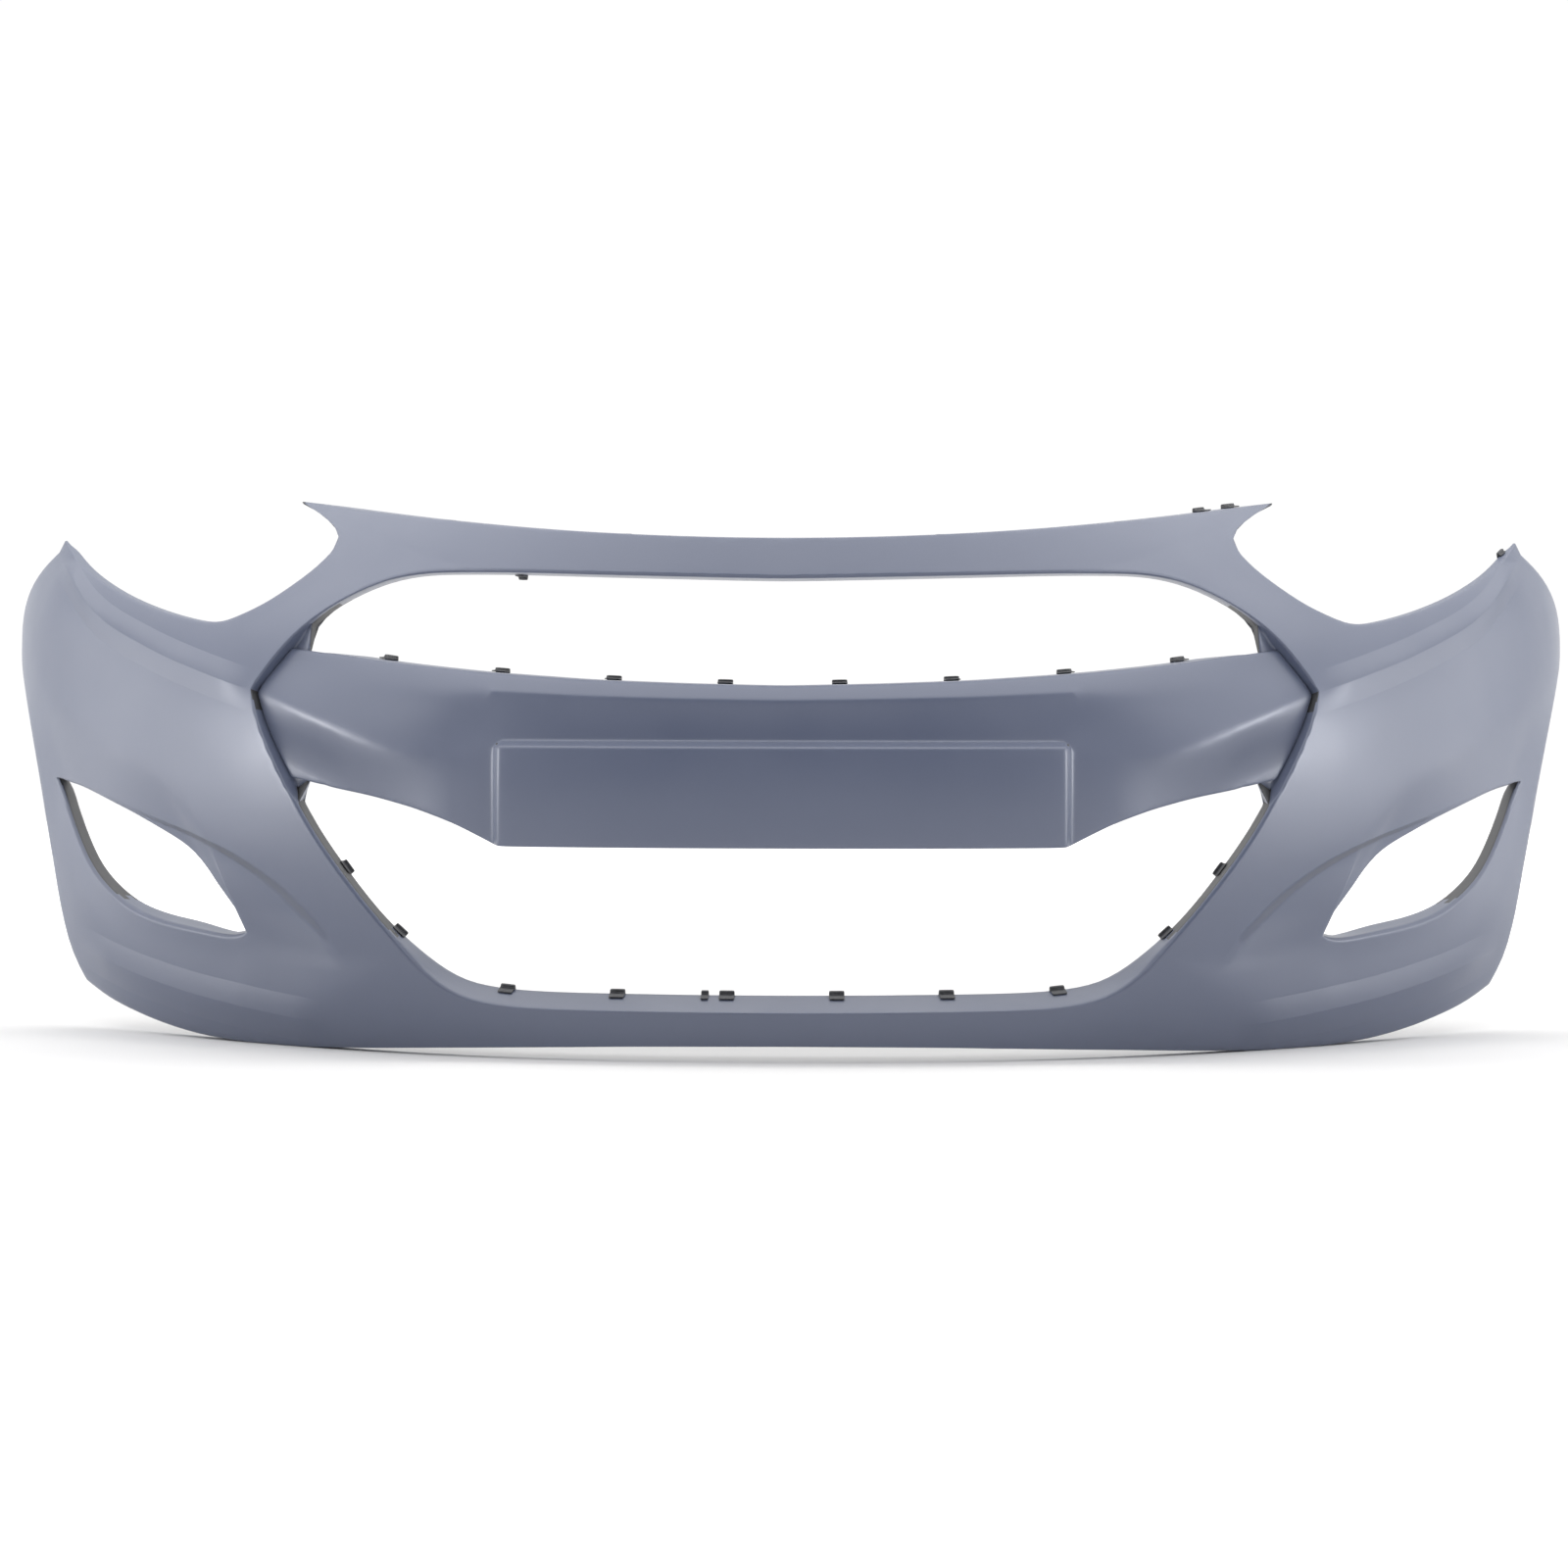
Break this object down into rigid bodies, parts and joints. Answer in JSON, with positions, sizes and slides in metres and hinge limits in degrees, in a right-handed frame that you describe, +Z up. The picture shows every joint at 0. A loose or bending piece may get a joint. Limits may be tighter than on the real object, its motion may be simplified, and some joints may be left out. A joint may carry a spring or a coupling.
{
  "type": "bumper cover",
  "caption": "Front bumper cover of a small city car: a thin curved shell with grille openings, fog-lamp pockets, headlamp notches and a centre bar with a number-plate pad.",
  "frame": {"origin": "middle of the footprint, on the surface the cover stands on", "axes": "+Z up, +X along the width, front faces -Y"},
  "size_m": [1.5794, 0.5365, 0.517],
  "materials": {
    "shell_primer": "matte blue-grey primer over moulded plastic",
    "bar_primer": "matte blue-grey primer over moulded plastic",
    "clip_plastic": "black moulded plastic"
  },
  "bodies": {
    "root": {"cover_shell": "shell_primer", "centre_bar": "bar_primer", "upper_clip_1": "clip_plastic", "upper_clip_2": "clip_plastic", "upper_clip_3": "clip_plastic", "upper_clip_4": "clip_plastic", "upper_clip_5": "clip_plastic", "upper_clip_6": "clip_plastic", "upper_clip_7": "clip_plastic", "upper_clip_8": "clip_plastic", "lower_clip_1": "clip_plastic", "lower_clip_2": "clip_plastic", "lower_clip_3": "clip_plastic", "lower_clip_4": "clip_plastic", "lower_clip_5": "clip_plastic", "lower_clip_6": "clip_plastic", "side_clip_left_upper": "clip_plastic", "side_clip_left_lower": "clip_plastic", "side_clip_right_upper": "clip_plastic", "side_clip_right_lower": "clip_plastic", "rail_clip_inner": "clip_plastic", "rail_clip_outer": "clip_plastic", "wing_clip": "clip_plastic", "rail_catch": "clip_plastic", "lip_catch": "clip_plastic"}
  },
  "joints": []
}
